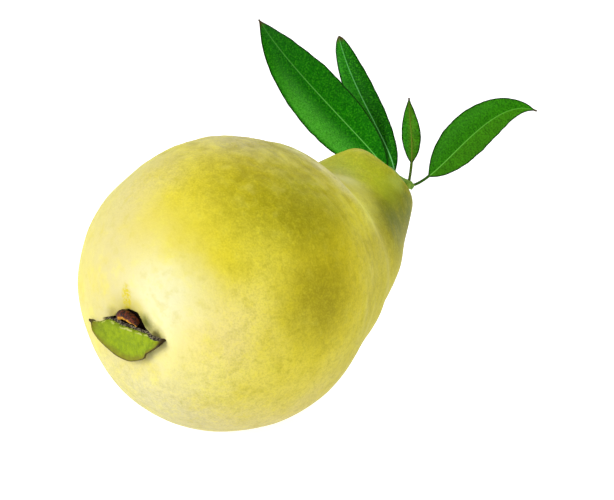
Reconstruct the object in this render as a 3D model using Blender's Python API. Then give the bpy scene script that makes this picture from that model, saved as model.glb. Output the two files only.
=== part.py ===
"""A whole pear-shaped guava, picked with a stub of twig and four leaves, lying on its side.

The blossom end looks towards -Y and the neck runs towards +Y, bent upwards. The fruit rests on
a small flat spot whose middle is the origin. The pieces are laid out round a point under the
fruit's widest ring, and the stand moves them all. Lengths are in metres and angles in radians,
unless a name says otherwise.
"""

import math

import bmesh
import bpy
from mathutils import Matrix, Vector
from mathutils.bvhtree import BVHTree

MM = 0.001
WELD = 0.01 * MM

# Fruit: the outline of one side, as millimetres along the axis from the widest ring and the
# radius there, from the blossom end to the stem end.
FRUIT_OUTLINE_MM = (
    (-38.4, 0.0),
    (-38.4, 3.0),
    (-38.5, 6.0),
    (-38.5, 9.0),
    (-38.4, 12.5),
    (-37.3, 18.5),
    (-31.0, 28.4),
    (-20.0, 37.0),
    (-8.0, 41.3),
    (2.0, 42.2),
    (12.0, 40.6),
    (22.0, 36.6),
    (31.0, 32.0),
    (38.0, 26.0),
    (45.0, 21.8),
    (52.0, 19.0),
    (59.4, 16.8),
    (65.0, 14.7),
    (69.0, 12.2),
    (70.4, 8.0),
    (70.6, 3.0),
    (70.6, 0.0),
)
STEPS_PER_OUTLINE_POINT = 2
FRUIT_SEGMENTS = 44
CENTRE_HEIGHT = 42.0 * MM
AXIS_DROOP = math.radians(3.0)
NECK_BEND = math.radians(36.0)
NECK_BEND_START = 28.0 * MM
NECK_BEND_END = 75.0 * MM
# Gentle ribs round the body: how many, how deep, and the angle of the first crest from the top.
RIBS = (
    (3, 0.9 * MM, math.radians(60.0)),
    (4, 0.4 * MM, math.radians(3.0)),
    (5, 0.8 * MM, math.radians(-13.5)),
)
RIB_CENTRE = 2.0 * MM
RIB_REACH = 26.0 * MM
RIB_FADE_RADIUS = 12.0 * MM
# Lumps of the neck: the place along the axis and its reach, the angle from the top and its
# reach, and the height.
NECK_LUMPS = (
    (66.0 * MM, 6.0 * MM, math.radians(-2.0), math.radians(20.0), 2.3 * MM),
    (45.0 * MM, 12.0 * MM, math.radians(88.0), math.radians(55.0), 5.2 * MM),
    (52.0 * MM, 8.0 * MM, math.radians(-10.0), math.radians(25.0), -1.0 * MM),
)
STEM_PIT_RADIUS = 5.0 * MM
STEM_PIT_DEPTH = 2.5 * MM

# The lowest part is pressed flat, and its middle is off to one side of the widest ring's centre.
FLAT_SPOT_CENTRE = Vector((-2.8, 0.5, 0.6)) * MM

# Blossom end: the hollow that the flower left, wider than it is high.
HOLLOW_CENTRE = Vector((2.5, -38.5, 47.4)) * MM
HOLLOW_HALF_WIDTH = 9.5 * MM
HOLLOW_HALF_HEIGHT = 4.6 * MM
HOLLOW_DEPTH = 4.0 * MM
HOLLOW_FLOOR_SHARE = 0.45

# Calyx lobe: its root line and its free edge, as (x, z) in millimetres seen from the front.
LOBE_ROOT_MM = ((-15.0, 41.6), (-9.0, 44.4), (-3.0, 44.9), (5.0, 45.4), (12.6, 45.9))
LOBE_EDGE_MM = ((-15.0, 40.8), (-10.8, 37.7), (-3.0, 36.2), (3.0, 37.0), (7.4, 40.0), (12.6, 45.1))
LOBE_COLUMNS = 16
LOBE_ROWS = 4
LOBE_LINE_STEPS = 4
LOBE_ROOT_STANDOFF = 0.5 * MM
LOBE_EDGE_STANDOFF = 2.2 * MM
LOBE_CURL_POWER = 1.5
LOBE_THICKNESS = 0.8 * MM

# Dried flower: a short arch left in the hollow.
DRIED_FLOWER_MM = (
    (-2.6, -38.6, 47.2),
    (-1.9, -39.0, 48.3),
    (-0.3, -39.2, 48.9),
    (1.4, -39.0, 48.4),
    (2.6, -38.6, 47.2),
)
DRIED_FLOWER_RADIUS = 1.1 * MM

# Twig: its centre line in millimetres, from the stem pit past the two leaf nodes to its cut end,
# with the radius at each point.
TWIG_MM = (
    ((0.0, 67.3, 49.4), 1.33),
    ((0.0, 69.0, 50.2), 1.17),
    ((-0.3, 71.6, 50.6), 1.09),
    ((-0.6, 73.6, 49.3), 1.25),
    ((0.9, 75.2, 47.2), 0.94),
    ((2.4, 76.2, 46.0), 1.01),
    ((3.9, 77.1, 45.0), 1.33),
    ((5.2, 77.9, 44.1), 0.86),
)
TWIG_STEPS = 3

# Leaves: the midrib is a cubic curve from the twig to the tip, and facing is the way that the
# upper side looks. A blade's width goes as share ** base_power * (1 - share) ** tip_power, lean
# makes one half wider than the other, and each half rises by fold and then sags.
LEAVES = {
    "large_leaf": {
        "midrib_mm": ((-2.4, 74.4, 48.0), (-12.8, 82.0, 48.8), (-37.8, 68.2, 73.7), (-34.6, 51.9, 96.9)),
        "facing": (0.62, -0.52, 0.58),
        "petiole_share": 0.03,
        "half_width": 9.2 * MM,
        "lean": -0.06,
        "base_power": 0.9,
        "tip_power": 1.02,
        "fold": math.radians(14.0),
        "sag": 0.22,
    },
    "rear_leaf": {
        "midrib_mm": ((-1.4, 76.6, 48.2), (-10.4, 85.2, 52.1), (-31.1, 89.8, 62.0), (-40.3, 95.1, 75.5)),
        "facing": (0.52, -0.73, 0.43),
        "petiole_share": 0.1,
        "half_width": 4.9 * MM,
        "lean": 0.0,
        "base_power": 0.92,
        "tip_power": 0.82,
        "fold": math.radians(14.0),
        "sag": 0.22,
    },
    "young_leaf": {
        "midrib_mm": ((3.2, 78.6, 47.0), (-1.3, 86.3, 53.0), (-5.5, 88.6, 56.9), (-7.0, 89.9, 66.3)),
        "facing": (0.46, -0.74, 0.49),
        "petiole_share": 0.2,
        "half_width": 3.0 * MM,
        "lean": 0.0,
        "base_power": 0.75,
        "tip_power": 1.0,
        "fold": math.radians(16.0),
        "sag": 0.15,
    },
    "side_leaf": {
        "midrib_mm": ((5.0, 79.6, 44.5), (6.7, 93.0, 44.5), (2.3, 121.1, 59.9), (14.6, 128.1, 54.8)),
        "facing": (0.66, -0.62, 0.43),
        "petiole_share": 0.15,
        "half_width": 6.9 * MM,
        "lean": -0.14,
        "base_power": 0.81,
        "tip_power": 1.4,
        "fold": math.radians(14.0),
        "sag": 0.22,
    },
}
PETIOLE_RADIUS = 0.6 * MM
BLADE_HALF_THICKNESS = 0.25 * MM
MIDRIB_HALF_THICKNESS = 0.5 * MM
TIP_HALF_WIDTH = 0.3 * MM
PETIOLE_ROWS = 4
BLADE_ROWS = 18
HALF_COLUMNS = 4


def clear_scene():
    for obj in list(bpy.data.objects):
        bpy.data.objects.remove(obj, do_unlink=True)


def material(name, colour, roughness):
    made = bpy.data.materials.new(name)
    made.use_nodes = True
    shader = made.node_tree.nodes["Principled BSDF"]
    shader.inputs["Base Color"].default_value = (*colour, 1.0)
    shader.inputs["Roughness"].default_value = roughness
    shader.inputs["Metallic"].default_value = 0.0
    return made


def smooth_points(points, steps):
    """Points on a smooth curve through the given ones, with this many steps between two."""
    ends = [2 * points[0] - points[1], *points, 2 * points[-1] - points[-2]]
    curve = []
    for before, start, end, after in zip(ends, ends[1:], ends[2:], ends[3:]):
        for step in range(steps):
            t = step / steps
            straight = 2 * start + (end - before) * t
            bend = (2 * before - 5 * start + 4 * end - after) * t**2
            twist = (3 * start - before - 3 * end + after) * t**3
            curve.append(0.5 * (straight + bend + twist))
    return [*curve, points[-1]]


def along_points(points, share):
    """The point at a share of the way along a list of points."""
    place = share * (len(points) - 1)
    index = min(int(place), len(points) - 2)
    return points[index].lerp(points[index + 1], place - index)


def smooth_step(share):
    share = min(1.0, max(0.0, share))
    return share * share * (3 - 2 * share)


def new_object(name, bm, finish):
    bmesh.ops.recalc_face_normals(bm, faces=bm.faces)
    mesh = bpy.data.meshes.new(name)
    bm.to_mesh(mesh)
    bm.free()
    mesh.shade_smooth()
    mesh.materials.append(finish)
    obj = bpy.data.objects.new(name, mesh)
    bpy.context.scene.collection.objects.link(obj)
    return obj


def spine(along):
    """The fruit's centre at a distance along its bent axis, and the axis's direction there."""
    turn_rate = NECK_BEND / (NECK_BEND_END - NECK_BEND_START)
    turn = max(0.0, along - NECK_BEND_START) * turn_rate
    centre = Vector((0, min(along, NECK_BEND_START), 0))
    centre += Vector((0, math.sin(turn), 1 - math.cos(turn))) / turn_rate
    return centre, Vector((0, math.cos(turn), math.sin(turn)))


def rib_height(along, angle):
    fade = math.exp(-(((along - RIB_CENTRE) / RIB_REACH) ** 2))
    return fade * sum(depth * math.cos(count * (angle - crest)) for count, depth, crest in RIBS)


def lump_height(along, angle):
    height = 0.0
    for middle, reach, towards, spread, rise in NECK_LUMPS:
        away = math.remainder(angle - towards, math.tau)
        height += rise * math.exp(-(((along - middle) / reach) ** 2) - (away / spread) ** 2)
    return height


def shaped_fruit_point(point):
    """A point of the straight turned fruit moved onto the ribbed fruit with its bent neck."""
    along = point.y
    radius = math.hypot(point.x, point.z)
    angle = math.atan2(point.x, point.z)
    unevenness = rib_height(along, angle) + lump_height(along, angle)
    if along > NECK_BEND_START:
        along -= STEM_PIT_DEPTH * math.exp(-2 * (radius / STEM_PIT_RADIUS) ** 2)
    radius += unevenness * smooth_step(radius / RIB_FADE_RADIUS)
    centre, forward = spine(along)
    up = Vector((0, -forward.z, forward.y))
    return centre + radius * (math.sin(angle) * Vector((1, 0, 0)) + math.cos(angle) * up)


def hollow_depth(point):
    """How far the blossom end is pressed in at a point."""
    if point.y > 0:
        return 0.0
    across = (point.x - HOLLOW_CENTRE.x) / HOLLOW_HALF_WIDTH
    up = (point.z - HOLLOW_CENTRE.z) / HOLLOW_HALF_HEIGHT
    outward = (math.hypot(across, up) - HOLLOW_FLOOR_SHARE) / (1 - HOLLOW_FLOOR_SHARE)
    return HOLLOW_DEPTH * (1 - smooth_step(outward))


def cut_flat_spot(bm):
    cut = bmesh.ops.bisect_plane(
        bm,
        geom=[*bm.verts, *bm.edges, *bm.faces],
        plane_co=(0, 0, FLAT_SPOT_CENTRE.z),
        plane_no=(0, 0, -1),
        clear_outer=True,
    )
    rim = [item for item in cut["geom_cut"] if isinstance(item, bmesh.types.BMEdge)]
    bmesh.ops.holes_fill(bm, edges=rim, sides=0)


def make_fruit():
    bm = bmesh.new()
    outline = [Vector((radius, along, 0)) * MM for along, radius in FRUIT_OUTLINE_MM]
    corners = [bm.verts.new(point) for point in smooth_points(outline, STEPS_PER_OUTLINE_POINT)]
    edges = [bm.edges.new(pair) for pair in zip(corners, corners[1:])]
    bmesh.ops.spin(
        bm,
        geom=corners + edges,
        axis=(0, 1, 0),
        steps=FRUIT_SEGMENTS,
        angle=math.tau,
        use_merge=True,
    )
    bmesh.ops.remove_doubles(bm, verts=bm.verts, dist=WELD)
    stand = Matrix.Translation((0, 0, CENTRE_HEIGHT)) @ Matrix.Rotation(-AXIS_DROOP, 4, "X")
    for vert in bm.verts:
        point = stand @ shaped_fruit_point(vert.co)
        vert.co = point + Vector((0, hollow_depth(point), 0))
    cut_flat_spot(bm)
    return new_object("fruit", bm, material("guava_skin", (0.68, 0.62, 0.16), 0.4))


def make_calyx_lobe(fruit):
    """The one green lobe left of the calyx: a bowed flap whose free edge lifts off the skin."""
    skin = BVHTree.FromObject(fruit, bpy.context.evaluated_depsgraph_get())
    root = smooth_points([Vector((x, 0, z)) * MM for x, z in LOBE_ROOT_MM], LOBE_LINE_STEPS)
    edge = smooth_points([Vector((x, 0, z)) * MM for x, z in LOBE_EDGE_MM], LOBE_LINE_STEPS)
    in_front = Vector((0, 2 * HOLLOW_CENTRE.y, 0))
    bm = bmesh.new()
    rows = []
    for row in range(LOBE_ROWS + 1):
        share = row / LOBE_ROWS
        standoff = LOBE_ROOT_STANDOFF + (LOBE_EDGE_STANDOFF - LOBE_ROOT_STANDOFF) * share**LOBE_CURL_POWER
        verts = []
        for column in range(LOBE_COLUMNS + 1):
            start = along_points(root, column / LOBE_COLUMNS)
            end = along_points(edge, column / LOBE_COLUMNS)
            seen = start.lerp(end, share)
            hit = skin.ray_cast(seen + in_front, Vector((0, 1, 0)))[0]
            level = min(hit.y, HOLLOW_CENTRE.y) - standoff
            verts.append(bm.verts.new((seen.x, level, seen.z)))
        rows.append(verts)
    for upper, lower in zip(rows, rows[1:]):
        for a, b, c, d in zip(upper, upper[1:], lower[1:], lower):
            bm.faces.new((a, d, c, b))
    lobe = new_object("calyx_lobe", bm, material("calyx_green", (0.34, 0.48, 0.03), 0.55))
    thickness = lobe.modifiers.new("thickness", "SOLIDIFY")
    thickness.thickness = LOBE_THICKNESS
    thickness.offset = 1.0 if lobe.data.polygons[0].normal.y < 0 else -1.0
    return lobe


def make_tube(name, points, radii, finish):
    curve = bpy.data.curves.new(name, "CURVE")
    curve.dimensions = "3D"
    curve.bevel_depth = 1.0
    curve.bevel_resolution = 2
    curve.use_fill_caps = True
    spline = curve.splines.new("POLY")
    spline.points.add(len(points) - 1)
    for place, point, radius in zip(spline.points, points, radii):
        place.co = (*point, 1.0)
        place.radius = radius
    curve.materials.append(finish)
    obj = bpy.data.objects.new(name, curve)
    bpy.context.scene.collection.objects.link(obj)
    return obj


def make_dried_flower():
    points = smooth_points([Vector(point) * MM for point in DRIED_FLOWER_MM], 3)
    middle = (len(points) - 1) / 2
    radii = [
        DRIED_FLOWER_RADIUS * (1 - 0.5 * abs(index / middle - 1) ** 3) for index in range(len(points))
    ]
    return make_tube("dried_flower", points, radii, material("dried_brown", (0.1, 0.04, 0.02), 0.8))


def make_twig():
    stations = [Vector((*point, radius)) * MM for point, radius in TWIG_MM]
    course = smooth_points(stations, TWIG_STEPS)
    points = [station.xyz for station in course]
    radii = [station.w for station in course]
    return make_tube("twig", points, radii, material("twig_green", (0.16, 0.24, 0.05), 0.65))


def midrib_point(handles, share):
    """The point of a cubic curve at a share of its course, and the curve's direction there."""
    a, b, c, d = handles
    rest = 1 - share
    point = a * rest**3 + 3 * b * rest**2 * share + 3 * c * rest * share**2 + d * share**3
    slope = (b - a) * rest**2 + 2 * (c - b) * rest * share + (d - c) * share**2
    return point, slope.normalized()


def blade_width(leaf, share):
    """Half the blade's width at a share of its length."""
    base = leaf["base_power"]
    tip = leaf["tip_power"]
    widest = base / (base + tip)
    greatest = widest**base * (1 - widest) ** tip
    return leaf["half_width"] * share**base * (1 - share) ** tip / greatest


def leaf_section(leaf, share):
    """One ring of points round the leaf: along its upper side, then back along its lower side."""
    handles = [Vector(point) * MM for point in leaf["midrib_mm"]]
    centre, forward = midrib_point(handles, share)
    facing = Vector(leaf["facing"])
    normal = (facing - forward * facing.dot(forward)).normalized()
    across = forward.cross(normal)
    blade_share = max(0.0, (share - leaf["petiole_share"]) / (1 - leaf["petiole_share"]))
    narrowest = PETIOLE_RADIUS + (TIP_HALF_WIDTH - PETIOLE_RADIUS) * blade_share
    width = max(narrowest, blade_width(leaf, blade_share))
    bladeness = smooth_step((width / narrowest - 1) / 2)
    upper = []
    lower = []
    for column in range(-HALF_COLUMNS, HALF_COLUMNS + 1):
        side = math.sin(math.pi / 2 * column / HALF_COLUMNS)
        reach = width * (1 + bladeness * leaf["lean"] * math.copysign(1, column))
        offset = reach * abs(side)
        lift = bladeness * offset * (math.tan(leaf["fold"]) - leaf["sag"] * abs(side))
        middle = centre + across * reach * side + normal * lift
        blade = BLADE_HALF_THICKNESS + (MIDRIB_HALF_THICKNESS - BLADE_HALF_THICKNESS) * (1 - abs(side)) ** 4
        thick = narrowest + (min(blade, narrowest) - narrowest) * bladeness
        rise = normal * thick * math.sqrt(max(0.0, 1 - side * side))
        upper.append(middle + rise)
        if abs(column) < HALF_COLUMNS:
            lower.append(middle - rise)
    return upper + lower[::-1]


def make_leaf(name, leaf, finish):
    petiole = [leaf["petiole_share"] * row / PETIOLE_ROWS for row in range(PETIOLE_ROWS)]
    length = 1 - leaf["petiole_share"]
    blade = [leaf["petiole_share"] + length * row / BLADE_ROWS for row in range(BLADE_ROWS + 1)]
    bm = bmesh.new()
    rings = []
    for share in petiole + blade:
        rings.append([bm.verts.new(point) for point in leaf_section(leaf, share)])
    for ring, following in zip(rings, rings[1:]):
        for index in range(len(ring)):
            after = (index + 1) % len(ring)
            bm.faces.new((ring[index], ring[after], following[after], following[index]))
    bm.faces.new(rings[0])
    bm.faces.new(rings[-1])
    return new_object(name, bm, finish)


def stand_on_flat_spot(pieces):
    """Everything hangs on one empty, which brings the middle of the flat spot to the origin."""
    stand = bpy.data.objects.new("stand", None)
    bpy.context.scene.collection.objects.link(stand)
    stand.location = -FLAT_SPOT_CENTRE
    for piece in pieces:
        piece.parent = stand


def main():
    clear_scene()
    fruit = make_fruit()
    pieces = [fruit, make_calyx_lobe(fruit), make_dried_flower(), make_twig()]
    leaf_green = material("leaf_green", (0.03, 0.16, 0.01), 0.35)
    pieces += [make_leaf(name, leaf, leaf_green) for name, leaf in LEAVES.items()]
    stand_on_flat_spot(pieces)


main()
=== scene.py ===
"""The looks of a whole pear-shaped guava with a calyx lobe, a twig stub and four leaves.

Lengths are in metres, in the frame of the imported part: the middle of the flat spot is the
origin, the blossom end looks towards -Y and the neck runs towards +Y, bent upwards.
"""

import math

import bpy
from mathutils import Matrix, Vector, noise
from mathutils.bvhtree import BVHTree


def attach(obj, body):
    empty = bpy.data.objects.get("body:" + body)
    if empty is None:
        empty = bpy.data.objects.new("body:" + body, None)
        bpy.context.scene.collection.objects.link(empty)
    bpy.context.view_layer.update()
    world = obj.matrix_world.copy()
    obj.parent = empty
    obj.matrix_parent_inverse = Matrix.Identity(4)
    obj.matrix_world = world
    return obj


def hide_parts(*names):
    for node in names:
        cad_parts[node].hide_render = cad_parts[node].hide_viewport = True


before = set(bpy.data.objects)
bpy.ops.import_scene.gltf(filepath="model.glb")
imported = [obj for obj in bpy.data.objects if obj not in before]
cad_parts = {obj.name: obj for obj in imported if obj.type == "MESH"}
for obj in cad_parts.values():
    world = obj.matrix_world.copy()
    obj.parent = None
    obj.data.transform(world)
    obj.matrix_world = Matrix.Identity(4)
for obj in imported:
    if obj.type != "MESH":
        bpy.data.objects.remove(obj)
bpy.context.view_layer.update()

MM = 0.001

# Shapes are worked out round a point under the widest ring and then moved by this much, which
# brings the middle of the flat spot to the origin.
STAND = Vector((2.8, -0.5, -0.6)) * MM

# Fruit: the outline of one side, as (along the axis, radius) in millimetres.
FRUIT_OUTLINE_MM = (
    (-38.4, 0.0),
    (-38.4, 3.0),
    (-38.5, 6.0),
    (-38.5, 9.0),
    (-38.4, 12.5),
    (-37.3, 18.5),
    (-31.0, 28.4),
    (-20.0, 37.0),
    (-8.0, 41.3),
    (2.0, 42.2),
    (12.0, 40.6),
    (22.0, 36.6),
    (31.0, 32.0),
    (38.0, 26.0),
    (45.0, 21.8),
    (52.0, 19.0),
    (59.4, 16.8),
    (65.0, 14.7),
    (69.0, 12.2),
    (70.4, 8.0),
    (70.6, 3.0),
    (70.6, 0.0),
)
OUTLINE_STEPS = 10
FRUIT_SEGMENTS = 300
FRUIT_RINGS = 320
RING_CROWDING = 1.45
CENTRE_HEIGHT = 42.0 * MM
AXIS_DROOP = math.radians(3.0)
NECK_BEND = math.radians(36.0)
NECK_BEND_START = 28.0 * MM
NECK_BEND_END = 75.0 * MM
# Gentle ribs round the body: how many, how deep, and the angle of the first crest from the top.
RIBS = (
    (3, 0.9 * MM, math.radians(60.0)),
    (4, 0.4 * MM, math.radians(3.0)),
    (5, 0.8 * MM, math.radians(-13.5)),
)
RIB_CENTRE = 2.0 * MM
RIB_REACH = 26.0 * MM
RIB_FADE_RADIUS = 12.0 * MM
# Lumps of the neck: the place along the axis and its reach, the angle from the top and its
# reach, and the height.
NECK_LUMPS = (
    (66.0 * MM, 6.0 * MM, math.radians(-2.0), math.radians(20.0), 2.3 * MM),
    (45.0 * MM, 12.0 * MM, math.radians(88.0), math.radians(55.0), 5.2 * MM),
    (52.0 * MM, 8.0 * MM, math.radians(-10.0), math.radians(25.0), -1.0 * MM),
)
# Relief of the skin: broad dents, wrinkles that run round the shoulder, and small dents on top.
DENT_SIZE = 13 * MM
DENT_DEPTH = 0.2 * MM
WRINKLE_LENGTH = 9 * MM
WRINKLE_WIDTH = 3 * MM
WRINKLE_DEPTH = 0.2 * MM
SMALL_DENT_SIZE = 4 * MM
SMALL_DENT_DEPTH = 0.24 * MM
WRINKLE_UNIT = 0.1 * MM
STEM_PIT_RADIUS = 5.0 * MM
STEM_PIT_DEPTH = 2.5 * MM
FLAT_SPOT_ROUNDING = 0.25 * MM

# Blossom end: the hollow that the flower left, between two lines of (x, z) in millimetres.
HOLLOW_UPPER_MM = (
    (-10.5, 44.2),
    (-6.6, 46.2),
    (-4.9, 48.2),
    (-0.8, 50.6),
    (2.6, 50.8),
    (4.2, 49.0),
    (5.8, 47.2),
    (8.6, 46.2),
    (12.5, 45.7),
)
HOLLOW_LOWER_MM = ((-10.5, 43.6), (-5.0, 43.0), (2.0, 43.4), (8.0, 44.2), (12.5, 45.4))
HOLLOW_DEPTH = 4.0 * MM
HOLLOW_WALL = 1.1 * MM
BLOSSOM_CENTRE = Vector((0.5, -38.5, 48.0)) * MM
BLOSSOM_DIMPLE_RADIUS = 10.0 * MM
BLOSSOM_DIMPLE_DEPTH = 0.7 * MM

# Broad tones of the skin, as (middle in millimetres in the part's frame, reach in millimetres,
# tone). Each is laid over the ones before it, so the small ones come last.
SKIN_BASE = (190, 180, 50)
SKIN_TONES = (
    # the far side: olive above, yellower below
    ((-35, 10, 60), 45, (155, 160, 75)),
    ((-40, -5, 30), 40, (195, 185, 90)),
    ((-15, 50, 45), 35, (135, 150, 70)),
    # the pale blossom end and the pale underside in front of it
    ((5, -40, 60), 60, (180, 170, 140)),
    ((15, -35, 20), 55, (180, 175, 155)),
    ((35, -15, 20), 40, (200, 185, 130)),
    ((35, -25, 55), 45, (230, 220, 110)),
    # the greyer top: olive skin under a painted whitish sheen
    ((-10, -20, 75), 30, (185, 175, 130)),
    ((0, 10, 80), 20, (180, 170, 140)),
    # the ripe side, olive high up and golden lower down
    ((25, 0, 75), 35, (160, 165, 0)),
    ((40, 0, 60), 30, (240, 220, 15)),
    ((45, -15, 40), 35, (220, 205, 30)),
    ((15, -35, 60), 20, (200, 200, 170)),
    ((10, -20, 80), 30, (200, 185, 15)),
    ((25, -25, 70), 20, (195, 180, 0)),
    ((10, 0, 80), 20, (185, 170, 30)),
    ((30, -30, 50), 20, (205, 190, 130)),
    ((45, -5, 55), 22, (115, 105, 0)),
    ((20, -5, 80), 18, (160, 150, 0)),
    ((30, 0, 70), 16, (120, 115, 0)),
    # the neck: a painted highlight on its pale left crest, green on the knob, painted shade on its dark
    # right side
    ((0, 45, 60), 12, (240, 240, 110)),
    ((5, 50, 60), 18, (130, 150, 50)),
    ((15, 55, 55), 18, (215, 230, 0)),
    ((30, 25, 65), 13, (245, 235, 65)),
    ((25, 35, 60), 12, (245, 245, 120)),
    ((15, 60, 50), 18, (75, 100, 0)),
    ((25, 45, 50), 14, (50, 80, 0)),
    ((20, 60, 45), 18, (30, 55, 0)),
    # a painted highlight along the pale crest where the neck meets the shoulder
    ((7, 27, 76), 8, (230, 230, 175)),
    ((14, 29, 73), 8, (235, 230, 185)),
    ((20, 31, 69), 9, (240, 235, 175)),
)
TONE_STRENGTH = 0.7
CALM_MIDDLE = Vector((4, -38, 58)) * MM

# Painted shade on the dark right side of the neck and painted highlights on its pale crests, laid over
# the speckles of the skin, as (middle in millimetres, reach in millimetres, share, tone).
NECK_SHADE_AND_HIGHLIGHTS = (
    ((24, 48, 49), 19, 0.62, (76, 90, 0)),
    ((19, 62, 47), 11, 0.45, (92, 112, 0)),
    ((14, 41, 61), 8, 0.55, (224, 222, 120)),
    ((10, 41, 62), 6, 0.45, (232, 228, 170)),
    ((20, 38, 61), 9, 0.35, (222, 220, 90)),
    ((15, 56, 55), 8, 0.4, (196, 210, 60)),
    ((14, 62, 55), 6, 0.5, (206, 222, 100)),
    ((26, 22, 68), 9, 0.25, (226, 218, 70)),
)

# Tones round the hollow: an olive rim that is partly painted shade, painted shade at the hollow's two sides
# and a painted shadow at the lobe's right end, as (x and z from its middle, unevenness, reach of the full
# tone, reach of its fringe, all in millimetres, share, tone).
BLOSSOM_TINTS_AND_SHADE = (
    (0.0, 0.0, 5.0, 3.0, 10.0, 0.6, (164, 150, 14)),
    (5.5, 1.0, 2.0, 0.6, 4.4, 0.85, (66, 74, 12)),
    (-7.0, -1.4, 2.0, 0.6, 4.0, 0.6, (120, 108, 36)),
    (9.8, -1.2, 1.5, 0.8, 4.6, 0.75, (104, 98, 20)),
    (9.8, -1.2, 1.5, 0.6, 2.6, 0.7, (34, 30, 8)),
)

# Calyx lobe: its root line and its free edge, as (x, z) in millimetres seen from the front.
LOBE_ROOT_MM = (
    (-15.5, 42.0),
    (-12.6, 42.2),
    (-8.4, 44.9),
    (-5.6, 45.4),
    (-2.5, 45.5),
    (3.8, 46.2),
    (9.2, 46.5),
    (13.8, 47.0),
)
LOBE_EDGE_MM = (
    (-15.5, 41.6),
    (-13.7, 40.9),
    (-9.9, 38.3),
    (-4.0, 36.5),
    (0.0, 36.2),
    (2.7, 36.8),
    (6.0, 38.5),
    (8.0, 40.1),
    (8.6, 41.6),
    (10.1, 42.9),
    (13.8, 46.6),
)
LOBE_LINE_STEPS = 12
LOBE_COLUMNS = 110
LOBE_ROWS = 40
LOBE_THICKNESS = 0.5 * MM
# How far the lobe stands off the skin at its root, how much more at its free edge, how uneven
# that is, and how deep the root is tucked into the hollow.
LOBE_STANDOFF = 0.4 * MM
LOBE_FLARE = 1.7 * MM
LOBE_UNEVENNESS = 0.25 * MM
LOBE_TUCK = 1.5 * MM

# Dried flower: a small arch in the hollow, as points in millimetres.
DRIED_FLOWER_MM = (
    (-3.6, -38.4, 47.2),
    (-2.6, -38.9, 48.8),
    (-0.4, -39.1, 49.7),
    (2.0, -39.1, 49.4),
    (3.9, -38.6, 48.1),
)
DRIED_FLOWER_LEVELS_MM = [(x, z) for x, y, z in DRIED_FLOWER_MM]
DRIED_FLOWER_RADIUS = 1.35 * MM

# Twig: its centre line in millimetres, from the stem pit past the two leaf nodes to its cut end,
# with the radius at each point.
TWIG_MM = (
    ((0.0, 67.3, 49.4), 1.33),
    ((0.0, 69.0, 50.2), 1.17),
    ((-0.3, 71.6, 50.6), 1.09),
    ((-0.6, 73.6, 49.3), 1.25),
    ((0.9, 75.2, 47.2), 0.94),
    ((2.4, 76.2, 46.0), 1.01),
    ((3.9, 77.1, 45.0), 1.33),
    ((5.2, 77.9, 44.1), 0.86),
)

# Leaves: the midrib is a cubic curve in millimetres from the twig to the tip, and facing is the
# way that the upper side looks. Lean widens one half and narrows the other, slim_base narrows the
# upper half towards the twig, the powers say how blunt each end is, fold lifts both halves and
# sags bends them down again. The last rows are the tones, and how strong the young leaf's brown
# flush and the painted highlight of the lower half are; that highlight is lightened into the base
# colour, and its mask also sets a coat.
LEAVES = {
    "large_leaf": {
        "midrib_mm": ((-2.4, 74.4, 48.0), (-12.8, 82.0, 48.8), (-37.8, 68.2, 73.7), (-34.6, 51.9, 96.9)),
        "facing": (0.62, -0.52, 0.58),
        "petiole_share": 0.03,
        "half_width": 9.2 * MM,
        "lean": -0.06,
        "base_power": 0.9,
        "tip_power": 1.02,
        "slim_base": 0.3,
        "fold": math.radians(14.0),
        "sags": (0.42, 0.22),
        "veins": 22,
        "rows": 230,
        "low_half": (14, 110, 0),
        "high_half": (16, 112, 0),
        "rib": (118, 208, 92),
        "stalk": (60, 110, 20),
        "flush": 0.0,
        "painted_highlight": 0.75,
    },
    "rear_leaf": {
        "midrib_mm": ((-1.4, 76.6, 48.2), (-10.4, 85.2, 52.1), (-31.1, 89.8, 62.0), (-40.3, 95.1, 75.5)),
        "facing": (0.52, -0.73, 0.43),
        "petiole_share": 0.0,
        "half_width": 4.9 * MM,
        "lean": 0.1,
        "base_power": 0.58,
        "tip_power": 0.58,
        "slim_base": 0.45,
        "fold": math.radians(14.0),
        "sags": (0.22, 0.22),
        "veins": 20,
        "rows": 200,
        "low_half": (26, 112, 10),
        "high_half": (12, 92, 0),
        "rib": (128, 214, 128),
        "stalk": (60, 110, 20),
        "flush": 0.0,
        "painted_highlight": 0.15,
    },
    "young_leaf": {
        "midrib_mm": ((3.2, 78.6, 47.0), (-1.3, 86.3, 53.0), (-5.5, 88.6, 56.9), (-7.0, 89.9, 66.3)),
        "facing": (0.46, -0.74, 0.49),
        "petiole_share": 0.15,
        "half_width": 3.0 * MM,
        "lean": 0.0,
        "base_power": 0.75,
        "tip_power": 1.0,
        "slim_base": 0.0,
        "fold": math.radians(16.0),
        "sags": (0.15, 0.15),
        "veins": 12,
        "rows": 130,
        "low_half": (40, 116, 4),
        "high_half": (54, 112, 4),
        "rib": (112, 116, 40),
        "stalk": (74, 100, 24),
        "flush": 0.14,
        "painted_highlight": 0.1,
    },
    "side_leaf": {
        "midrib_mm": ((5.0, 79.6, 44.5), (6.7, 93.0, 44.5), (2.3, 121.1, 59.9), (14.6, 128.1, 54.8)),
        "facing": (0.66, -0.62, 0.43),
        "petiole_share": 0.12,
        "half_width": 6.7 * MM,
        "lean": -0.14,
        "base_power": 0.86,
        "tip_power": 1.25,
        "slim_base": 0.0,
        "fold": math.radians(14.0),
        "sags": (0.22, 0.22),
        "veins": 20,
        "rows": 220,
        "low_half": (44, 124, 0),
        "high_half": (62, 132, 8),
        "rib": (122, 206, 76),
        "stalk": (52, 92, 16),
        "flush": 0.0,
        "painted_highlight": 0.1,
    },
}
PETIOLE_RADIUS = 0.45 * MM
PETIOLE_OVERLAP = 1.4 * MM
BLADE_HALF_THICKNESS = 0.17 * MM
MIDRIB_HALF_THICKNESS = 0.45 * MM
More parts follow.
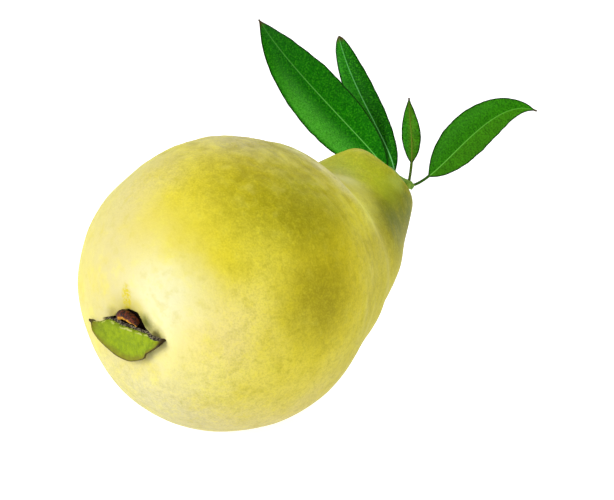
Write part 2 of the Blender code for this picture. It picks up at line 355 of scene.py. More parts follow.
TIP_HALF_WIDTH = 0.3 * MM
BLADE_WAVE = 0.6 * MM
MARGIN_UNEVENNESS = 0.03
VEIN_SLANT = 1.5
LEAF_COLUMNS = 64

# Camera: the direction that it looks from, as on a compass and above the horizon, and the point
# that it looks at, to the right of the fruit's widest ring and above it.
CAMERA_AZIMUTH = math.radians(41.7)
CAMERA_ELEVATION = math.radians(30.0)
CAMERA_DISTANCE = 600 * MM
LENS_MM = 123.127
CAMERA_AIM_RIGHT = 23.0 * MM
CAMERA_AIM_UP = 9.86 * MM
SENSOR_WIDTH_MM = 36.0

# Lights: name, metres to the camera's right, up and away from it, watts and size.
LIGHTS = (
    ("key", -0.68, 0.18, -0.54, 10.0, 0.6),
    ("fill", 0.5, 0.5, -0.5, 2.0, 0.8),
    ("behind", 0.1, 0.7, 0.5, 3.0, 0.6),
)
WORLD_LIGHT = 0.4
FLOOR_SIZE = 6.0


def smooth_step(low, high, value):
    share = min(1.0, max(0.0, (value - low) / (high - low)))
    return share * share * (3 - 2 * share)


def smooth_points(points, steps):
    """Points on a smooth curve through the given ones, with this many steps between two."""
    ends = [2 * points[0] - points[1], *points, 2 * points[-1] - points[-2]]
    curve = []
    for before, start, end, after in zip(ends, ends[1:], ends[2:], ends[3:]):
        for step in range(steps):
            t = step / steps
            straight = 2 * start + (end - before) * t
            bend = (2 * before - 5 * start + 4 * end - after) * t**2
            twist = (3 * start - before - 3 * end + after) * t**3
            curve.append(0.5 * (straight + bend + twist))
    return [*curve, points[-1]]


def along_points(points, share):
    """The point at a share of the way along a list of points."""
    place = min(1.0, max(0.0, share)) * (len(points) - 1)
    index = min(int(place), len(points) - 2)
    return points[index].lerp(points[index + 1], place - index)


def evenly_spaced(points, count):
    """This many points at even distances along a line of points."""
    distances = [0.0]
    for start, end in zip(points, points[1:]):
        distances.append(distances[-1] + (end - start).length)
    spaced = []
    index = 0
    for step in range(count):
        wanted = distances[-1] * step / (count - 1)
        while index < len(points) - 2 and distances[index + 1] < wanted:
            index += 1
        share = (wanted - distances[index]) / (distances[index + 1] - distances[index])
        spaced.append(points[index].lerp(points[index + 1], min(1.0, share)))
    return spaced


def active_piece(name):
    """The object that an operator has just added, under its own name."""
    piece = bpy.context.active_object
    piece.name = name
    piece.data.name = name
    return piece


def deselect_all():
    for obj in bpy.context.selected_objects:
        obj.select_set(False)


def edit_whole(piece, *steps):
    """Runs edit-mode operators on the whole of a piece."""
    deselect_all()
    piece.select_set(True)
    bpy.context.view_layer.objects.active = piece
    bpy.ops.object.mode_set(mode="EDIT")
    bpy.ops.mesh.select_all(action="SELECT")
    for step in steps:
        step()
    bpy.ops.object.mode_set(mode="OBJECT")


def weld_and_face_out():
    bpy.ops.mesh.remove_doubles(threshold=0.001 * MM)
    bpy.ops.mesh.normals_make_consistent(inside=False)


def apply_modifier(piece, kind, **settings):
    modifier = piece.modifiers.new(kind.title(), kind)
    for key, value in settings.items():
        setattr(modifier, key, value)
    bpy.context.view_layer.objects.active = piece
    bpy.ops.object.modifier_apply(modifier=modifier.name)


def place(piece, node, slot):
    """Moves a finished piece onto its stand and ties it to the part."""
    piece.data.transform(Matrix.Translation(STAND))
    piece.data.shade_smooth()
    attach(piece, "root")
    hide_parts(node)


def store(piece, name, values):
    attribute = piece.data.attributes.new(name, "FLOAT", "POINT")
    attribute.data.foreach_set("value", values)


# ---------------------------------------------------------------- shader building


class Value:
    """One number of a shader, held as a socket. Sums with it add Math nodes."""

    def __init__(self, finish, socket):
        self.finish = finish
        self.socket = socket

    def math(self, operation, *others):
        return self.finish.node("ShaderNodeMath", {"operation": operation}, self, *others)

    def __add__(self, other):
        return self.math("ADD", other)

    __radd__ = __add__

    def __sub__(self, other):
        return self.math("SUBTRACT", other)

    def __rsub__(self, other):
        return self * -1 + other

    def __mul__(self, other):
        return self.math("MULTIPLY", other)

    __rmul__ = __mul__

    def __truediv__(self, other):
        return self.math("DIVIDE", other)

    def __rtruediv__(self, other):
        return self.math("POWER", -1) * other

    def __pow__(self, other):
        return self.math("POWER", other)

    def size(self):
        return self.math("ABSOLUTE")

    def at_most(self, other):
        return self.math("MINIMUM", other)

    def rise(self, low, high):
        """0 below low and 1 above high, with a smooth rise between."""
        return self.finish.node(
            "ShaderNodeMapRange",
            {"interpolation_type": "SMOOTHSTEP"},
            self,
            **{"From Min": low, "From Max": high},
        )


class Finish:
    """A material under construction, with one Principled shader."""

    def __init__(self, name, **constants):
        self.material = bpy.data.materials.new(name)
        self.material.use_nodes = True
        self.tree = self.material.node_tree
        self.shader = self.tree.nodes["Principled BSDF"]
        for key, value in constants.items():
            self.shader.inputs[key.replace("_", " ")].default_value = value
        self.coordinates = self.tree.nodes.new("ShaderNodeTexCoord")
        self.place = Value(self, self.coordinates.outputs["Object"])

    def feed(self, socket, value):
        if isinstance(value, Value):
            self.tree.links.new(value.socket, socket)
        elif isinstance(value, tuple) and socket.type == "RGBA":
            socket.default_value = (*value, 1.0)
        else:
            socket.default_value = value

    def node(self, kind, settings, *values, output=0, **sockets):
        """Adds a node: its settings first, then its sockets in order or by identifier."""
        node = self.tree.nodes.new(kind)
        for key, value in settings.items():
            setattr(node, key, value)
        for socket, value in zip(node.inputs, values):
            self.feed(socket, value)
        for key, value in sockets.items():
            socket = next(item for item in node.inputs if item.identifier == key)
            self.feed(socket, value)
        return Value(self, node.outputs[output])

    def mix(self, factor, first, second, blend="MIX"):
        return self.node(
            "ShaderNodeMix",
            {"data_type": "RGBA", "blend_type": blend, "clamp_factor": True},
            output=2,
            Factor_Float=factor,
            A_Color=first,
            B_Color=second,
        )

    def part(self, axis):
        """One coordinate of the surface's place, in metres."""
        return self.node("ShaderNodeSeparateXYZ", {}, self.place, output="XYZ".index(axis))

    def attribute(self, name):
        return self.node("ShaderNodeAttribute", {"attribute_name": name}, output=2)

    def distance(self, where, point):
        return self.node("ShaderNodeVectorMath", {"operation": "DISTANCE"}, where, tuple(point), output=1)

    def wandering(self, size, reach):
        """The surface's place, pushed to and fro so that what is measured from it gets uneven edges."""
        push = self.node("ShaderNodeTexNoise", {}, self.place, output=1, Scale=1.0 / size, Detail=3.0)
        push = self.node("ShaderNodeVectorMath", {"operation": "SUBTRACT"}, push, (0.5, 0.5, 0.5))
        push = self.node("ShaderNodeVectorMath", {"operation": "SCALE"}, push, Scale=reach)
        return self.node("ShaderNodeVectorMath", {"operation": "ADD"}, self.place, push)

    def cloud(self, size, detail=3.0, rough=0.5, twist=0.0, shift=0.0):
        """Soft noise from 0 to 1, whose blots are about this size across."""
        source = self.place
        if shift:
            source = self.node("ShaderNodeVectorMath", {"operation": "ADD"}, source, (shift, shift, shift))
        return self.node(
            "ShaderNodeTexNoise",
            {},
            source,
            Scale=1.0 / size,
            Detail=detail,
            Roughness=rough,
            Distortion=twist,
        )

    def finish(self, colour, roughness=None, height=None, depth=0.1 * MM, coat=None):
        self.feed(self.shader.inputs["Base Color"], colour)
        if roughness is not None:
            self.feed(self.shader.inputs["Roughness"], roughness)
        if coat is not None:
            self.feed(self.shader.inputs["Coat Weight"], coat)
        if height is not None:
            bump = self.node("ShaderNodeBump", {}, Strength=1.0, Distance=depth, Height=height)
            self.feed(self.shader.inputs["Normal"], bump)
        return self.material


def srgb(red, green, blue):
    """A colour as a paint chart gives it, from 0 to 255, in the shader's linear numbers."""
    linear = []
    for channel in (red, green, blue):
        share = channel / 255
        linear.append(share / 12.92 if share < 0.04045 else ((share + 0.055) / 1.055) ** 2.4)
    return tuple(linear)


# ---------------------------------------------------------------- fruit


def spine(along):
    """The fruit's centre at a distance along its bent axis, and the axis's direction there."""
    turn_rate = NECK_BEND / (NECK_BEND_END - NECK_BEND_START)
    turn = max(0.0, along - NECK_BEND_START) * turn_rate
    centre = Vector((0, min(along, NECK_BEND_START), 0))
    centre += Vector((0, math.sin(turn), 1 - math.cos(turn))) / turn_rate
    return centre, Vector((0, math.cos(turn), math.sin(turn)))


def rib_height(along, angle):
    fade = math.exp(-(((along - RIB_CENTRE) / RIB_REACH) ** 2))
    return fade * sum(depth * math.cos(count * (angle - crest)) for count, depth, crest in RIBS)


def lump_height(along, angle):
    height = 0.0
    for middle, reach, towards, spread, rise in NECK_LUMPS:
        away = math.remainder(angle - towards, math.tau)
        height += rise * math.exp(-(((along - middle) / reach) ** 2) - (away / spread) ** 2)
    return height


def unbent(along, radius, angle):
    """Where a point of the skin would be if the fruit's axis were straight."""
    return Vector((math.sin(angle) * radius, along, math.cos(angle) * radius))


def skin_relief(along, radius, angle):
    """Shallow dents all over, and wrinkles that run round the shoulder and the neck."""
    spot = unbent(along, radius, angle)
    dents = noise.fractal(spot / DENT_SIZE, 1.0, 2.0, 2) * DENT_DEPTH
    return dents + wrinkle_height(along, radius, angle)


def wrinkle_height(along, radius, angle):
    spot = unbent(along, radius, angle)
    crumple = Vector((spot.x / WRINKLE_LENGTH, along / WRINKLE_WIDTH, spot.z / WRINKLE_LENGTH))
    off_neck = smooth_step(36 * MM, 22 * MM, along)
    on_shoulder = smooth_step(-6 * MM, 26 * MM, along) * smooth_step(-0.4, 0.7, math.cos(angle - 0.3))
    on_neck = smooth_step(34 * MM, 46 * MM, along) * 0.25
    share = max(on_shoulder * off_neck, on_neck, 0.08)
    wrinkles = noise.fractal(crumple, 1.0, 2.0, 3) * WRINKLE_DEPTH * share
    on_top = smooth_step(-26 * MM, 4 * MM, along) * smooth_step(0.55, 0.98, math.cos(angle + 0.05))
    dents = noise.fractal(spot / SMALL_DENT_SIZE + Vector((5, 0, 0)), 1.0, 2.0, 2) * SMALL_DENT_DEPTH
    return wrinkles + dents * (0.08 + 0.92 * on_top * off_neck)


def height_at(line, x):
    """The height of a line of (x, z) points at x, or None beyond its ends."""
    for (x0, z0), (x1, z1) in zip(line, line[1:]):
        if x0 * MM <= x <= x1 * MM:
            return (z0 + (z1 - z0) * (x / MM - x0) / (x1 - x0)) * MM
    return None


def hollow_share(point):
    """How far a point is inside the hollow, from 0 at its rim to 1 on its floor."""
    upper = height_at(HOLLOW_UPPER_MM, point.x)
    if point.y > 0 or upper is None:
        return 0.0
    lower = height_at(HOLLOW_LOWER_MM, point.x)
    inside = min(upper - point.z, point.z - lower)
    return smooth_step(-0.2 * MM, HOLLOW_WALL, inside)


def dimple_share(point):
    """The soft dip round the hollow."""
    if point.y > 0:
        return 0.0
    return math.exp(-(((point - BLOSSOM_CENTRE).length / BLOSSOM_DIMPLE_RADIUS) ** 2))


def fruit_point(along, radius, angle):
    """A point of the skin, from its place along the outline and its angle from the top."""
    fade = smooth_step(0, RIB_FADE_RADIUS, radius)
    unevenness = rib_height(along, angle) + lump_height(along, angle) + skin_relief(along, radius, angle)
    if along > NECK_BEND_START:
        along -= STEM_PIT_DEPTH * math.exp(-2 * (radius / STEM_PIT_RADIUS) ** 2)
    radius += unevenness * fade
    centre, forward = spine(along)
    up = Vector((0, -forward.z, forward.y))
    return centre + radius * (math.sin(angle) * Vector((1, 0, 0)) + math.cos(angle) * up)


def make_fruit():
    deselect_all()
    bpy.ops.mesh.primitive_uv_sphere_add(segments=FRUIT_SEGMENTS, ring_count=FRUIT_RINGS, radius=1)
    fruit = active_piece("guava_body")
    outline = smooth_points([Vector(pair) * MM for pair in FRUIT_OUTLINE_MM], OUTLINE_STEPS)
    outline = evenly_spaced(outline, 4 * FRUIT_RINGS)
    lay = Matrix.Translation((0, 0, CENTRE_HEIGHT)) @ Matrix.Rotation(-AXIS_DROOP, 4, "X")
    hollows = []
    wrinkles = []
    for vert in fruit.data.vertices:
        share = math.acos(max(-1.0, min(1.0, -vert.co.z))) / math.pi
        along, radius = along_points(outline, share**RING_CROWDING)
        angle = math.atan2(vert.co.x, -vert.co.y)
        point = lay @ fruit_point(along, radius, angle)
        hollow = hollow_share(point)
        point.y += HOLLOW_DEPTH * hollow + BLOSSOM_DIMPLE_DEPTH * dimple_share(point)
        low = point.z + STAND.z
        point.z = (low + math.hypot(low, FLAT_SPOT_ROUNDING)) / 2 - STAND.z
        vert.co = point
        hollows.append(hollow)
        wrinkles.append(wrinkle_height(along, radius, angle) / WRINKLE_UNIT)
    store(fruit, "hollow", hollows)
    store(fruit, "wrinkle", wrinkles)
    return fruit


def skin_finish():
    skin = Finish(
        "guava_skin_finish",
        Subsurface_Weight=0.12,
        Subsurface_Scale=3 * MM,
        Specular_IOR_Level=0.05,
    )
    skin.shader.inputs["Subsurface Radius"].default_value = (1.0, 0.8, 0.3)
    wandering = skin.wandering(16 * MM, 12 * MM)
    colour = srgb(*SKIN_BASE)
    for middle, reach, tone in SKIN_TONES:
        near = 1 - skin.distance(wandering, Vector(middle) * MM).rise(0.0, reach * MM)
        colour = skin.mix(near * TONE_STRENGTH, colour, srgb(*tone))
    blotches = skin.cloud(11 * MM, detail=4.0, rough=0.6, twist=0.3)
    patches = skin.cloud(4.5 * MM, detail=4.0, rough=0.62, shift=0.4)
    mottle = skin.cloud(1.3 * MM, detail=3.0, rough=0.6, shift=0.2)
    grain = skin.cloud(0.5 * MM, detail=2.0, rough=0.5)
    wrinkle = skin.attribute("wrinkle") + (mottle - 0.5) * 0.4
    # large, uneven patches of riper and paler skin
    colour = skin.mix(blotches.rise(0.48, 0.72) * 0.35, colour, srgb(190, 176, 24))
    colour = skin.mix((1 - patches.rise(0.28, 0.5)) * 0.25, colour, srgb(206, 200, 76))
    colour = skin.mix(patches.rise(0.52, 0.72) * 0.25, colour, srgb(170, 158, 30))
    # the ripe side, away from the calm blossom end, is clumpy and finely speckled
    ripe = (skin.distance(skin.place, CALM_MIDDLE) + (blotches - 0.5) * 10 * MM).rise(16 * MM, 36 * MM)
    ripe = ripe * skin.part("X").rise(-30 * MM, 0.0)
    clumps = skin.cloud(2.4 * MM, detail=4.0, rough=0.65, twist=0.6, shift=0.7)
    colour = skin.mix(clumps.rise(0.44, 0.74) * ripe * 0.34, colour, srgb(146, 138, 6))
    colour = skin.mix((1 - clumps.rise(0.26, 0.54)) * ripe * 0.25, colour, srgb(218, 206, 30))
    speckled = ripe * 0.85 + 0.15
    colour = skin.mix(mottle.rise(0.5, 0.75) * speckled * 0.2, colour, srgb(150, 144, 20))
    colour = skin.mix((1 - mottle.rise(0.28, 0.48)) * speckled * 0.18, colour, srgb(214, 206, 60))
    colour = skin.mix(grain.rise(0.48, 0.66) * speckled * 0.17, colour, srgb(130, 120, 4))
    colour = skin.mix((1 - grain.rise(0.34, 0.5)) * speckled * 0.17, colour, srgb(226, 214, 60))
    # painted highlight on the crests of the wrinkles and painted shade in their valleys
    colour = skin.mix(wrinkle.rise(0.2, 1.5) * 0.28, colour, srgb(222, 214, 100))
    colour = skin.mix((1 - wrinkle.rise(-1.3, -0.2)) * 0.34, colour, srgb(142, 130, 4))
    # painted shade on the neck's dark right side and painted highlights on its pale crests
    for middle, reach, share, tone in NECK_SHADE_AND_HIGHLIGHTS:
        near = 1 - skin.distance(wandering, Vector(middle) * MM).rise(0.0, reach * MM)
        streaky = 0.7 + wrinkle.rise(-0.6, 0.9) * 0.3
        colour = skin.mix(near * streaky * share, colour, srgb(*tone))
    colour = blossom_tones(skin, colour, patches, mottle)
    roughness = 0.42 + patches * 0.15
    relief = mottle * 0.5 + grain * 0.2 + skin.cloud(2.8 * MM, detail=2.0, shift=0.3)
    return skin.finish(colour, roughness, relief, 0.12 * MM)


def blossom_tones(skin, colour, patches, mottle):
    """The tones round the hollow: olive at its rim, partly painted shade, painted shade and shadow beside
    it, a golden streak above, and a dark inside that is partly a brown lining and partly painted shade.
    """
    hollow = skin.attribute("hollow")
    centre = BLOSSOM_CENTRE + STAND
    # painted shade and shadow round the hollow, over an olive tint at its rim
    for x, z, uneven, low, high, share, tone in BLOSSOM_TINTS_AND_SHADE:
        clouds = patches if uneven > 2 else mottle  # the broad one has broad fringes
        out = skin.distance(skin.place, centre + Vector((x, 0, z)) * MM) + (clouds - 0.5) * uneven * MM
        colour = skin.mix((1 - out.rise(low * MM, high * MM)) * share, colour, srgb(*tone))
    across = (skin.part("X") - (centre.x - 2.0 * MM)) / (2.0 * MM)
    up = (skin.part("Z") - (centre.z + 6.0 * MM)) / (5.0 * MM)
    speckle = skin.cloud(1.0 * MM, detail=2.0, shift=0.9)
    streak = (1 - (across**2 + up**2).rise(0.1, 1.3)) * (0.25 + speckle.rise(0.42, 0.6) * 0.75)
    front = 1 - skin.part("Y").rise(-34 * MM, -30 * MM)
    colour = skin.mix(streak * front * 0.9, colour, srgb(180, 164, 0))
    # the inside of the hollow: a dark brown lining darkened further with painted shade
    return skin.mix(hollow.rise(0.1, 0.45), colour, srgb(26, 16, 9))


# ---------------------------------------------------------------- calyx lobe and dried flower


def make_lobe(fruit):
    """The one green lobe left of the calyx: a bowed flap that comes out of the hollow."""
    skin = BVHTree.FromPolygons(
        [vert.co for vert in fruit.data.vertices],
        [face.vertices for face in fruit.data.polygons],
    )
    root = smooth_points([Vector((x, 0, z)) * MM for x, z in LOBE_ROOT_MM], LOBE_LINE_STEPS)
    root = evenly_spaced(root, LOBE_COLUMNS + 1)
    edge = smooth_points([Vector((x, 0, z)) * MM for x, z in LOBE_EDGE_MM], LOBE_LINE_STEPS)
    edge = evenly_spaced(edge, LOBE_COLUMNS + 1)
    in_front = Vector((0, 2 * BLOSSOM_CENTRE.y, 0))
    deselect_all()
    bpy.ops.mesh.primitive_grid_add(x_subdivisions=LOBE_COLUMNS, y_subdivisions=LOBE_ROWS, size=1)
    lobe = active_piece("calyx_flap")
    drops = []
    sides = []
    for vert in lobe.data.vertices:
        column = vert.co.x + 0.5
        drop = 0.5 - vert.co.y
        start = along_points(root, column)
        end = along_points(edge, column)
        seen = start.lerp(end, drop)
        ragged = noise.noise(Vector((column * 22, drop * 3, 0)))
        seen.z += ragged * LOBE_UNEVENNESS * (1 - drop) ** 4
        hit = skin.ray_cast(seen + in_front, Vector((0, 1, 0)))[0]
        taper = smooth_step(0.0, 0.1, column)
        standoff = LOBE_STANDOFF + LOBE_FLARE * drop**1.5 * taper
        standoff += LOBE_UNEVENNESS * noise.noise(Vector((column * 7, drop * 3, 4)))
        tuck = LOBE_TUCK * smooth_step(0.14, 0.0, drop) * taper
        level = min(hit.y, BLOSSOM_CENTRE.y) - standoff + tuck
        vert.co = Vector((seen.x, level, seen.z))
        drops.append(drop)
        sides.append(column)
    store(lobe, "drop", drops)
    store(lobe, "side", sides)
    apply_modifier(lobe, "SOLIDIFY", thickness=LOBE_THICKNESS, offset=0.0)
    edit_whole(lobe, weld_and_face_out)
    return lobe


def lobe_finish():
    flap = Finish("calyx_flap_finish", Specular_IOR_Level=0.12)
    drop = flap.attribute("drop")
    side = flap.attribute("side")
    mottle = flap.cloud(1.6 * MM, detail=4.0, rough=0.6)
    fine = flap.cloud(0.5 * MM, detail=3.0)
    colour = flap.mix(mottle.rise(0.3, 0.7), srgb(98, 118, 0), srgb(122, 142, 0))
    colour = flap.mix(fine.rise(0.5, 0.7) * 0.3, colour, srgb(150, 160, 10))
    from_edge = (1 - drop).at_most(side * 1.6).at_most((1 - side) * 1.6)
    edge = 1 - (from_edge + (mottle - 0.5) * 0.2).rise(0.03, 0.25)
    colour = flap.mix((1 - side.rise(0.02, 0.4)) * 0.4, colour, srgb(92, 96, 20))
    colour = flap.mix(edge * 0.75, colour, srgb(104, 94, 18))
    thin_edge = 1 - (from_edge + (fine - 0.5) * 0.03).rise(0.01, 0.04)
    colour = flap.mix(thin_edge * 0.8, colour, srgb(56, 38, 12))
    # a painted highlight along the line just below the rim
    painted_highlight_line = 1 - (drop - 0.11 + (mottle - 0.5) * 0.06).size().rise(0.005, 0.022)
    colour = flap.mix(painted_highlight_line * mottle.rise(0.45, 0.6) * 0.7, colour, srgb(184, 184, 110))
    torn = side.rise(0.74, 0.9) * 0.14
    rim = 1 - (drop - torn + (fine - 0.5) * 0.05).rise(0.055, 0.09)
    withered = flap.mix(fine.rise(0.45, 0.62), srgb(28, 20, 14), srgb(112, 104, 84))
    colour = flap.mix(rim, colour, withered)
    tip = 1 - (side + (fine - 0.5) * 0.03).rise(0.03, 0.07)
    colour = flap.mix(tip * 0.9, colour, srgb(44, 26, 14))
    end = (side + (fine - 0.5) * 0.04).rise(0.93, 0.98)
    colour = flap.mix(end * 0.85, colour, srgb(44, 30, 12))
    return flap.finish(colour, 0.5 + fine * 0.2, mottle * 0.6 + fine * 0.4, 0.25 * MM)


def make_dried_flower():
    points = smooth_points([Vector(point) * MM for point in DRIED_FLOWER_MM], 8)
    middle = (len(points) - 1) / 2
    radii = [DRIED_FLOWER_RADIUS * (1 - 0.5 * abs(index / middle - 1) ** 3) for index in range(len(points))]
    remains = make_tube("flower_remains", points, radii, 6)
    lifts = []
    for vert in remains.data.vertices:
        level = height_at(DRIED_FLOWER_LEVELS_MM, vert.co.x) or DRIED_FLOWER_LEVELS_MM[0][1] * MM
        lifts.append((vert.co.z - level) / DRIED_FLOWER_RADIUS)
        vert.co += vert.normal * noise.fractal(vert.co / (0.9 * MM), 1.0, 2.0, 3) * 0.25 * MM
    store(remains, "lift", lifts)
    return remains


def flower_finish():
    dry = Finish("dried_flower_finish", Specular_IOR_Level=0.2)
    grain = dry.cloud(0.7 * MM, detail=4.0, rough=0.7)
    colour = dry.mix(grain.rise(0.42, 0.58), srgb(12, 4, 1), srgb(98, 38, 8))
    golden = 1 - (dry.attribute("lift") + (grain - 0.5) * 0.9).rise(-0.15, 0.15)
    gold = dry.mix(grain.rise(0.4, 0.6), srgb(150, 84, 4), srgb(206, 150, 10))
    colour = dry.mix(golden * 0.9, colour, gold)
    return dry.finish(colour, 0.4 + grain * 0.3, grain, 0.4 * MM)


def make_tube(name, points, radii, resolution):
    curve = bpy.data.curves.new(name, "CURVE")
    curve.dimensions = "3D"
    curve.bevel_depth = 1.0
    curve.bevel_resolution = resolution
    curve.use_fill_caps = True
    spline = curve.splines.new("POLY")
    spline.points.add(len(points) - 1)
    for spot, point, radius in zip(spline.points, points, radii):
        spot.co = (*point, 1.0)
        spot.radius = radius
    tube = bpy.data.objects.new(name, curve)
    bpy.context.scene.collection.objects.link(tube)
    deselect_all()
    tube.select_set(True)
    bpy.context.view_layer.objects.active = tube
    bpy.ops.object.convert(target="MESH")
    tube = active_piece(name)
    edit_whole(tube, weld_and_face_out)
    return tube


# ---------------------------------------------------------------- twig and leaves


def make_twig():
    stations = [Vector((*point, radius)) * MM for point, radius in TWIG_MM]
    course = smooth_points(stations, 8)
    twig = make_tube("twig_stub", [spot.xyz for spot in course], [spot.w for spot in course], 6)
    for vert in twig.data.vertices:
        vert.co += vert.normal * noise.noise(vert.co / (1.2 * MM)) * 0.12 * MM
    return twig


def twig_finish():
    bark = Finish("twig_finish")
    grain = bark.cloud(1.2 * MM, detail=4.0, rough=0.6)
    colour = bark.mix(grain.rise(0.35, 0.65), srgb(88, 138, 20), srgb(138, 176, 44))
    return bark.finish(colour, 0.5 + grain * 0.2, grain, 0.2 * MM)


def midrib_point(handles, share):
    """The point of a cubic curve at a share of its course, and the curve's direction there."""
    a, b, c, d = handles
    rest = 1 - share
    point = a * rest**3 + 3 * b * rest**2 * share + 3 * c * rest * share**2 + d * share**3
    slope = (b - a) * rest**2 + 2 * (c - b) * rest * share + (d - c) * share**2
    return point, slope.normalized()


def blade_width(leaf, share):
    """Half the blade's width at a share of its length."""
    base = leaf["base_power"]
    tip = leaf["tip_power"]
    widest = base / (base + tip)
    greatest = widest**base * (1 - widest) ** tip
    return leaf["half_width"] * max(0.0, share) ** base * max(0.0, 1 - share) ** tip / greatest


def leaf_row(leaf, handles, share):
    """What all points of one row of a leaf share."""
    centre, forward = midrib_point(handles, share)
    facing = Vector(leaf["facing"])
    normal = (facing - forward * facing.dot(forward)).normalized()
    blade_share = max(0.0, (share - leaf["petiole_share"]) / (1 - leaf["petiole_share"]))
    narrowest = PETIOLE_RADIUS + (TIP_HALF_WIDTH - PETIOLE_RADIUS) * blade_share
    width = max(narrowest, blade_width(leaf, blade_share))
    return {
        "centre": centre,
        "normal": normal,
        "across": forward.cross(normal),
        "blade_share": blade_share,
        "narrowest": narrowest,
        "width": width,
        "bladeness": smooth_step(1, 3, width / narrowest),
    }


def leaf_reach(leaf, row, side):
    """How far the margin is from the midrib, on the side asked for."""
    lean = leaf["lean"] * math.copysign(1, side)
    slim = leaf["slim_base"] * (1 - row["blade_share"]) ** 2 if side > 0 else 0.0
    spot = Vector((row["blade_share"] * leaf["rows"] / 14, math.copysign(3, side), leaf["veins"]))
    uneven = noise.fractal(spot, 1.0, 2.0, 2) * MARGIN_UNEVENNESS
    return row["width"] * (1 + row["bladeness"] * (lean - slim + uneven))


def leaf_point(leaf, row, side, upper):
    reach = leaf_reach(leaf, row, side)
    offset = reach * abs(side)
    sag = leaf["sags"][1 if side > 0 else 0]
    lift = row["bladeness"] * offset * (math.tan(leaf["fold"]) - sag * abs(side))
    wave = noise.noise(Vector((row["blade_share"] * 9, math.copysign(2, side), leaf["veins"])))
    lift += row["bladeness"] * wave * abs(side) ** 2 * BLADE_WAVE
    middle = row["centre"] + row["across"] * reach * side + row["normal"] * lift
    rib = (1 - abs(side)) ** 10
    blade = BLADE_HALF_THICKNESS + (MIDRIB_HALF_THICKNESS - BLADE_HALF_THICKNESS) * rib
    thick = row["narrowest"] + (min(blade, row["narrowest"]) - row["narrowest"]) * row["bladeness"]
    rise = thick * math.sqrt(max(0.0, 1 - side * side))
    return middle + row["normal"] * (rise if upper else -rise)


def make_leaf(name, leaf):
    handles = [Vector(point) * MM for point in leaf["midrib_mm"]]
    length = sum((b - a).length for a, b in zip(handles, handles[1:]))
    start = -PETIOLE_OVERLAP / length
    deselect_all()
    bpy.ops.mesh.primitive_grid_add(x_subdivisions=LEAF_COLUMNS, y_subdivisions=leaf["rows"], size=1)
    piece = active_piece(name + "_blade")
    rows = {}
    measures = {"side": [], "out": [], "inset": [], "blade": [], "upper": [], "vein": []}
    for vert in piece.data.vertices:
        key = round((vert.co.y + 0.5) * leaf["rows"])
        if key not in rows:
            rows[key] = leaf_row(leaf, handles, start + (1 - start) * key / leaf["rows"])
        row = rows[key]
        turn = round((vert.co.x + 0.5) * LEAF_COLUMNS)
        half = LEAF_COLUMNS // 2
        column = turn if turn <= half else LEAF_COLUMNS - turn
        side = -math.cos(math.pi * column / half)
        vert.co = leaf_point(leaf, row, side, turn <= half)
        reach = leaf_reach(leaf, row, side)
        vein = leaf["veins"] * (row["blade_share"] - abs(side) * reach / (VEIN_SLANT * length))
        measures["side"].append(side)
        measures["out"].append(abs(side) * reach)
        measures["inset"].append((1 - abs(side)) * reach)
        measures["blade"].append(row["blade_share"])
        measures["upper"].append(0.5 if turn % half == 0 else float(turn < half))
        measures["vein"].append(vein + (0.5 if side > 0 else 0.0))
    for measure, values in measures.items():
        store(piece, measure, values)
    edit_whole(piece, weld_and_face_out, close_ends, weld_and_face_out)
    return piece


def close_ends():
    bpy.ops.mesh.select_all(action="SELECT")
    bpy.ops.mesh.fill_holes(sides=0)
    bpy.ops.mesh.select_all(action="SELECT")


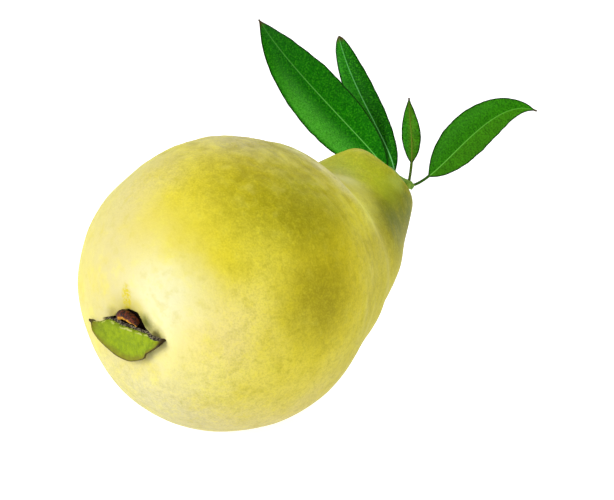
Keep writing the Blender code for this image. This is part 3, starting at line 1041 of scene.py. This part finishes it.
def leaf_finish(name, leaf):
    green = Finish(name, Specular_IOR_Level=0.05, Coat_Roughness=0.32, Coat_IOR=1.45)
    side = green.attribute("side")
    out = green.attribute("out")
    inset = green.attribute("inset")
    blade = green.attribute("blade")
    upper = green.attribute("upper")
    vein = green.attribute("vein")
    mottle = green.cloud(3.0 * MM, detail=4.0, rough=0.6)
    fine = green.cloud(0.5 * MM, detail=3.0, rough=0.6)
    grain = green.cloud(0.3 * MM, detail=2.0, shift=0.1)
    low_half = srgb(*leaf["low_half"])
    high_half = srgb(*leaf["high_half"])
    colour = green.mix(side.rise(-0.04, 0.04), low_half, high_half)
    colour = green.mix(mottle.rise(0.35, 0.65) * 0.22, colour, srgb(8, 74, 0))
    colour = green.mix((1 - fine.rise(0.34, 0.5)) * 0.6, colour, srgb(6, 62, 0))
    colour = green.mix(fine.rise(0.5, 0.66) * 0.42, colour, srgb(70, 168, 20))
    # painted highlight: a shiny zone of the lower half lightened into the base colour; the same mask sets
    # the coat
    sheen = (0 - side).rise(0.1, 0.75) * inset.rise(0.0, 1.5 * MM)
    sheen = sheen * blade.rise(0.0, 0.15) * (1 - blade.rise(0.5, 0.9))
    sheen = sheen * leaf["painted_highlight"] * (0.35 + grain.rise(0.35, 0.65) * 0.65)
    colour = green.mix(sheen * 0.72, colour, srgb(98, 200, 66))
    flush = (1 - (out + (mottle - 0.5) * 2 * MM).rise(0.2 * MM, 1.6 * MM)) * leaf["flush"]
    colour = green.mix(flush, colour, srgb(110, 84, 30))
    from_vein = (vein.math("FRACT") - 0.5).size()
    vein_line = from_vein.rise(0.42, 0.49) * out.rise(0.4 * MM, 1 * MM) * inset.rise(0.5 * MM, 2 * MM)
    colour = green.mix(vein_line * 0.02, colour, srgb(*leaf["rib"]))
    rib = 1 - (out + (fine - 0.5) * 0.1 * MM).rise(0.05 * MM, 0.22 * MM)
    colour = green.mix(rib * (0.95 - blade * 0.75), colour, srgb(*leaf["rib"]))
    colour = green.mix((1 - upper.rise(0.4, 0.6)) * 0.45, colour, srgb(104, 146, 62))
    margin = 1 - (inset + (fine - 0.5) * 0.3 * MM).rise(0.2 * MM, 0.6 * MM)
    colour = green.mix(margin * 0.9, colour, srgb(8, 42, 0))
    colour = green.mix(blade.rise(0.95, 0.99) * 0.8, colour, srgb(70, 44, 22))
    colour = green.mix(1 - (blade + (fine - 0.5) * 0.01).rise(0.0, 0.02), colour, srgb(*leaf["stalk"]))
    relief = vein_line * -0.1 + from_vein * 0.3 + fine * 0.8 + grain * 0.3
    return green.finish(colour, 0.4 + fine * 0.15, relief, 0.1 * MM, coat=sheen * 0.6)


# ---------------------------------------------------------------- setting


def add_light(name, where, towards, energy, size):
    bpy.ops.object.light_add(type="AREA", location=where)
    light = bpy.context.active_object
    light.name = name
    light.rotation_euler = (Vector(towards) - Vector(where)).to_track_quat("-Z", "Y").to_euler()
    light.data.energy = energy
    light.data.size = size


def camera_axes():
    level = Vector((-math.sin(CAMERA_AZIMUTH), math.cos(CAMERA_AZIMUTH), 0))
    forward = level * math.cos(CAMERA_ELEVATION) - Vector((0, 0, math.sin(CAMERA_ELEVATION)))
    right = Vector((math.cos(CAMERA_AZIMUTH), math.sin(CAMERA_AZIMUTH), 0))
    return right, right.cross(forward), forward


def add_camera():
    right, up, forward = camera_axes()
    centre = Vector((0, 0, CENTRE_HEIGHT)) + STAND
    aim = centre + right * CAMERA_AIM_RIGHT + up * CAMERA_AIM_UP
    bpy.ops.object.camera_add(location=aim - forward * CAMERA_DISTANCE)
    camera = bpy.context.active_object
    camera.rotation_euler = forward.to_track_quat("-Z", "Y").to_euler()
    camera.data.sensor_width = SENSOR_WIDTH_MM
    camera.data.lens = LENS_MM
    camera.data.clip_start = 0.01
    bpy.context.scene.camera = camera


def add_studio_lights():
    """A large soft key at the left of the blossom end, a weak fill and a light from behind."""
    right, up, forward = camera_axes()
    centre = Vector((0, 0, CENTRE_HEIGHT))
    for name, side, rise, depth, energy, size in LIGHTS:
        where = centre + right * side + up * rise + forward * depth
        add_light(name, where, centre, energy, size)


def add_floor():
    """A white sheet lit from below, as under a packshot."""
    bpy.ops.mesh.primitive_plane_add(size=FLOOR_SIZE)
    floor = active_piece("floor")
    white = Finish("floor_sheet", Roughness=0.9, Emission_Color=(1, 1, 1, 1), Emission_Strength=0.88)
    grain = white.cloud(2 * MM)
    paper = white.mix(grain, (0.44, 0.44, 0.44), (0.48, 0.48, 0.48))
    floor.data.materials.append(white.finish(paper))


def add_world():
    """White to the eye, and dimmer as a light."""
    world = bpy.data.worlds.new("studio")
    bpy.context.scene.world = world
    world.use_nodes = True
    tree = world.node_tree
    sight = tree.nodes.new("ShaderNodeLightPath")
    strength = tree.nodes.new("ShaderNodeMapRange")
    strength.inputs["To Min"].default_value = WORLD_LIGHT
    strength.inputs["To Max"].default_value = 1.0
    tree.links.new(sight.outputs["Is Camera Ray"], strength.inputs["Value"])
    background = tree.nodes["Background"]
    background.inputs["Color"].default_value = (1, 1, 1, 1)
    tree.links.new(strength.outputs["Result"], background.inputs["Strength"])
    bpy.context.scene.view_settings.view_transform = "Standard"


def main():
    add_floor()
    add_world()
    add_studio_lights()
    add_camera()
    fruit = make_fruit()
    lobe = make_lobe(fruit)
    remains = make_dried_flower()
    twig = make_twig()
    fruit.data.materials.append(skin_finish())
    lobe.data.materials.append(lobe_finish())
    remains.data.materials.append(flower_finish())
    twig.data.materials.append(twig_finish())
    place(fruit, "fruit", "guava_skin")
    place(lobe, "calyx_lobe", "calyx_green")
    place(remains, "dried_flower", "dried_brown")
    place(twig, "twig", "twig_green")
    for name, leaf in LEAVES.items():
        piece = make_leaf(name, leaf)
        piece.data.materials.append(leaf_finish(name + "_finish", leaf))
        place(piece, name, "leaf_green")


main()
